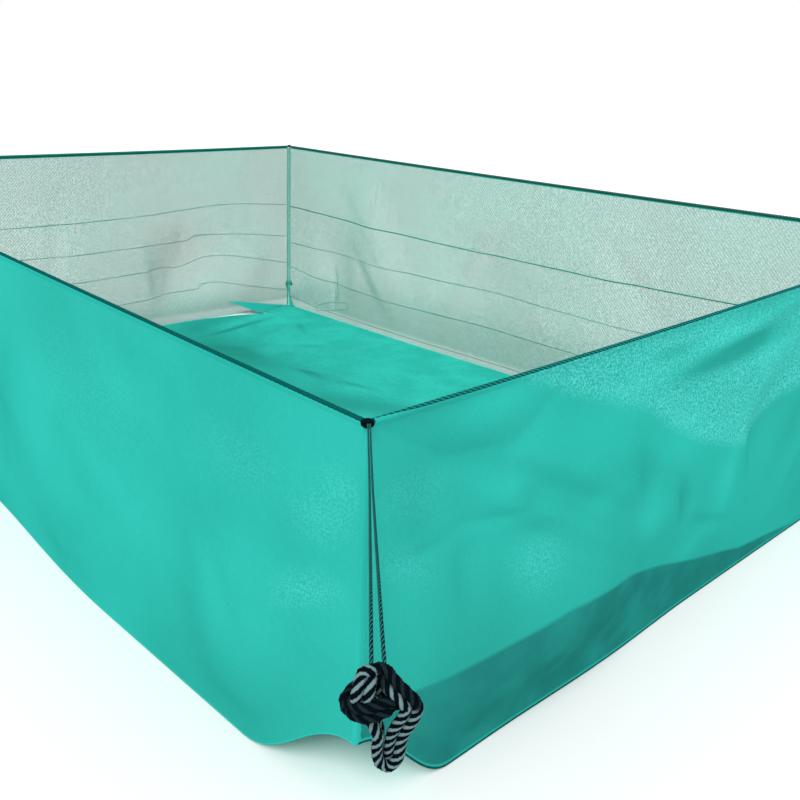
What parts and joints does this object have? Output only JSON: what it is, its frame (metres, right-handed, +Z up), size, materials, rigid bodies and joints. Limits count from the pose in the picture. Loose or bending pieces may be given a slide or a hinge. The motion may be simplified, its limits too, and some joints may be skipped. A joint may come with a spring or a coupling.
{
  "type": "fish farming net cage",
  "caption": "Open-topped box cage of fine teal net, with a net floor, a dark rope along the rim, a cord along the hem and a knotted tie at each corner.",
  "frame": {"origin": "middle of the floor's underside, on the ground", "axes": "+X along the two long walls, +Y along the two short walls towards the back, +Z up"},
  "size_m": [3.743, 2.9317, 1.0025],
  "materials": {
    "net": "fine knitted polyethylene net, soft sheen, sheer when seen square on",
    "rope": "matte black laid rope with pale tracer yarns",
    "cord": "matte black and grey twisted cord"
  },
  "bodies": {
    "root": {"net_front": "net", "net_right": "net", "net_back": "net", "net_left": "net", "net_floor": "net", "corner_seam_frontRight": "net", "corner_seam_frontLeft": "net", "corner_seam_backRight": "net", "corner_seam_backLeft": "net", "rim_rope_front": "rope", "rim_rope_right": "rope", "rim_rope_back": "rope", "rim_rope_left": "rope", "hem_cord_front": "cord", "hem_cord_right": "cord", "hem_cord_back": "cord", "hem_cord_left": "cord", "corner_knot_frontRight": "cord", "corner_knot_frontLeft": "cord", "corner_knot_backRight": "cord", "corner_knot_backLeft": "cord", "tie_frontRight_a": "cord", "tie_frontRight_b": "cord", "rope_knot_frontRight": "rope", "tie_frontLeft_a": "cord", "tie_frontLeft_b": "cord", "rope_knot_frontLeft": "rope", "tie_backRight_a": "cord", "tie_backRight_b": "cord", "rope_knot_backRight": "rope", "tie_backLeft_a": "cord", "tie_backLeft_b": "cord", "rope_knot_backLeft": "rope"}
  },
  "joints": []
}
